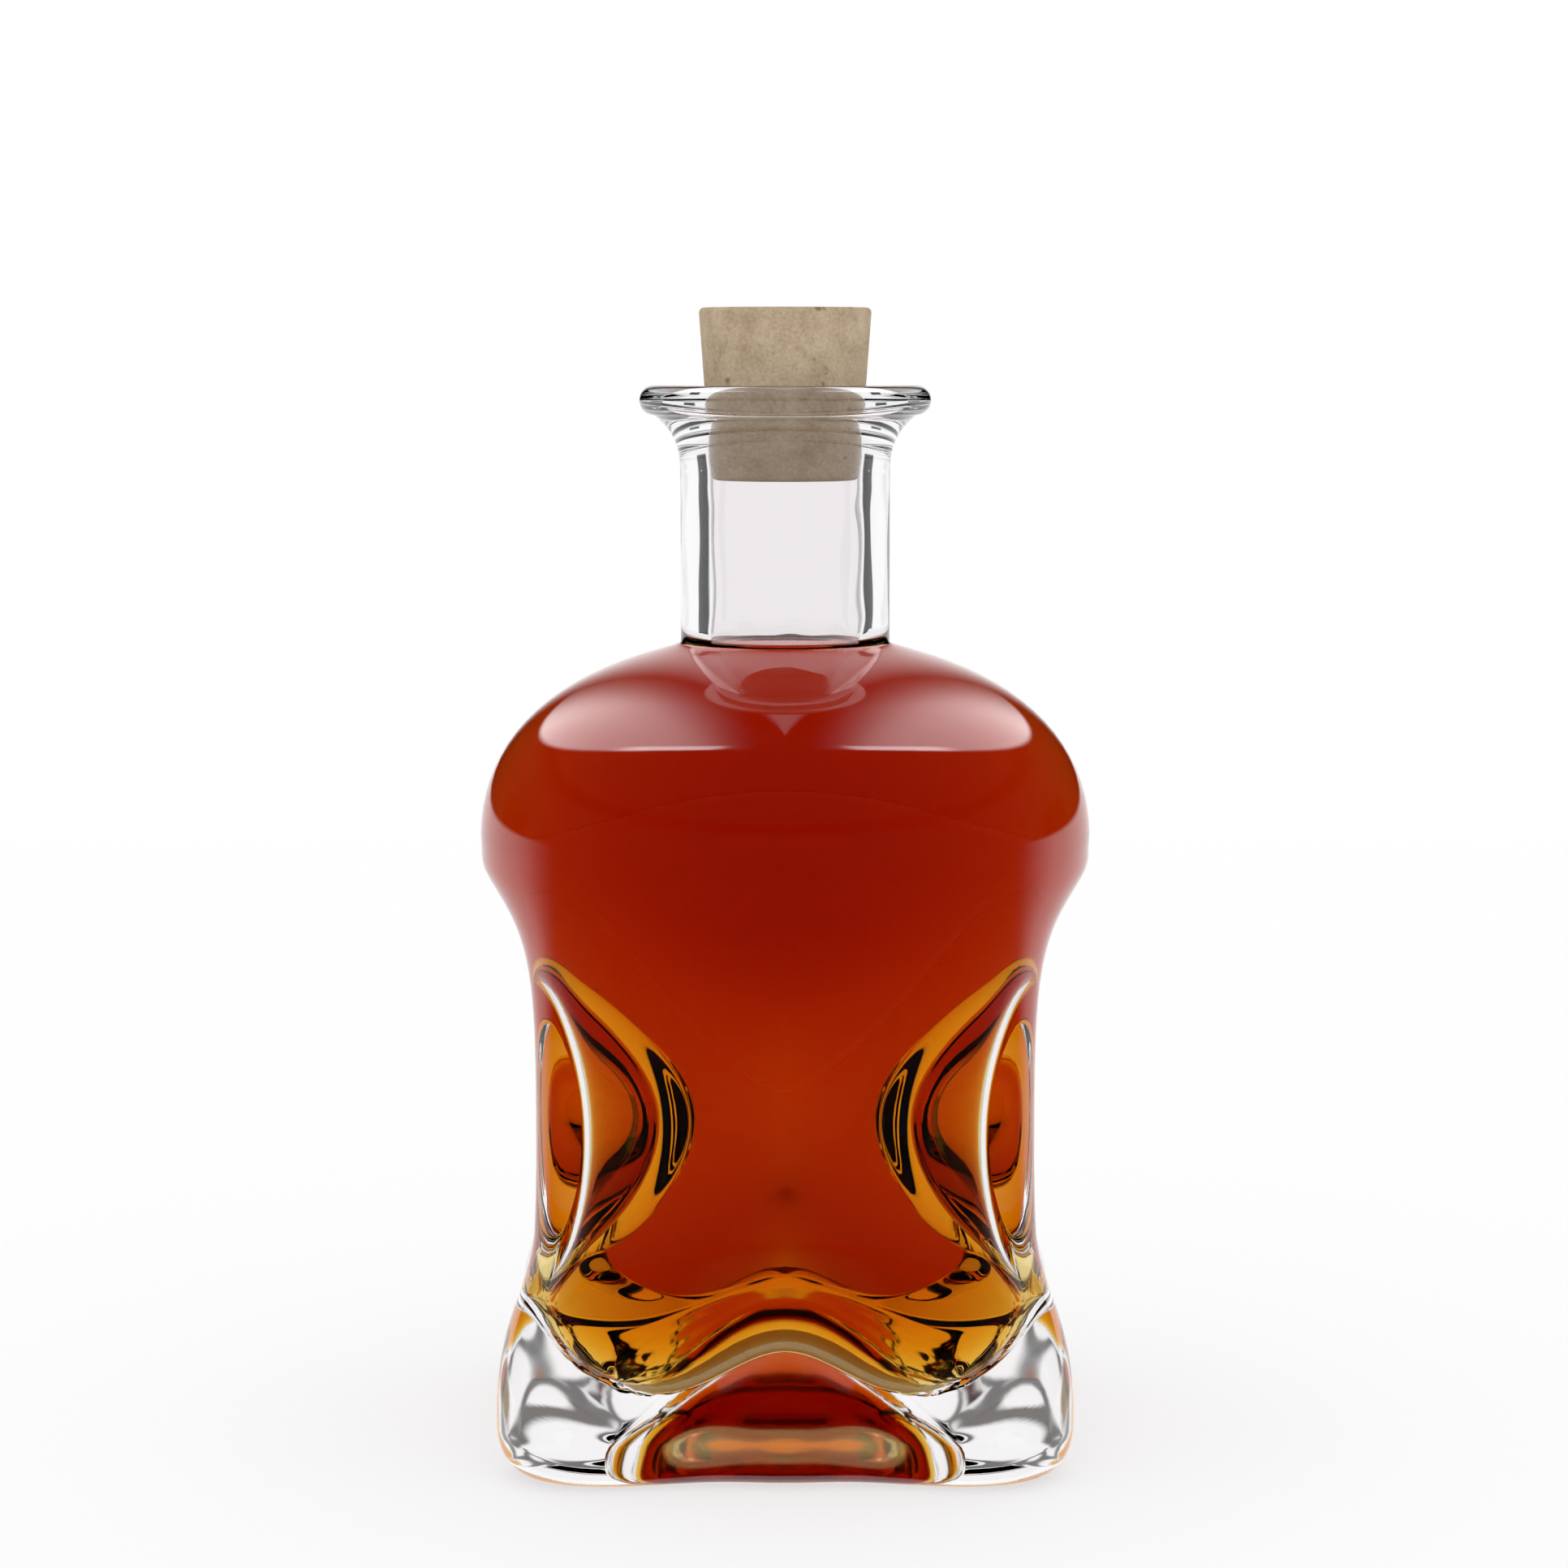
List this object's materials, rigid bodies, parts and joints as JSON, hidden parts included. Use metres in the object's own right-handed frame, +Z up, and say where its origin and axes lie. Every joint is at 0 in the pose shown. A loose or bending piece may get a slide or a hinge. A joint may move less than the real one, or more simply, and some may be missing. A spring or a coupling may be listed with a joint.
{
  "type": "glass bottle",
  "caption": "Squat clear-glass bottle with dented sides and four rounded feet, filled with a red-amber liquid and closed by a tapered cork.",
  "frame": {"origin": "middle of the base, on the surface the bottle stands on", "axes": "+Z up along the neck, -Y out of the front, whose dent is shallow, and +X out of one of the two deep dents"},
  "size_m": [0.0782, 0.0782, 0.1442],
  "materials": {
    "glass": "clear, polished",
    "liquid": "clear red-amber liquid",
    "cork": "matt, fine-grained"
  },
  "bodies": {
    "bottle": {"bottle": "glass", "liquid": "liquid"},
    "stopper": {"cork": "cork"}
  },
  "joints": [
    {"name": "cork_pull", "type": "slide", "parent": "bottle", "child": "stopper", "axis": [0, 0, 1], "range_m": [0, 0.05]}
  ]
}
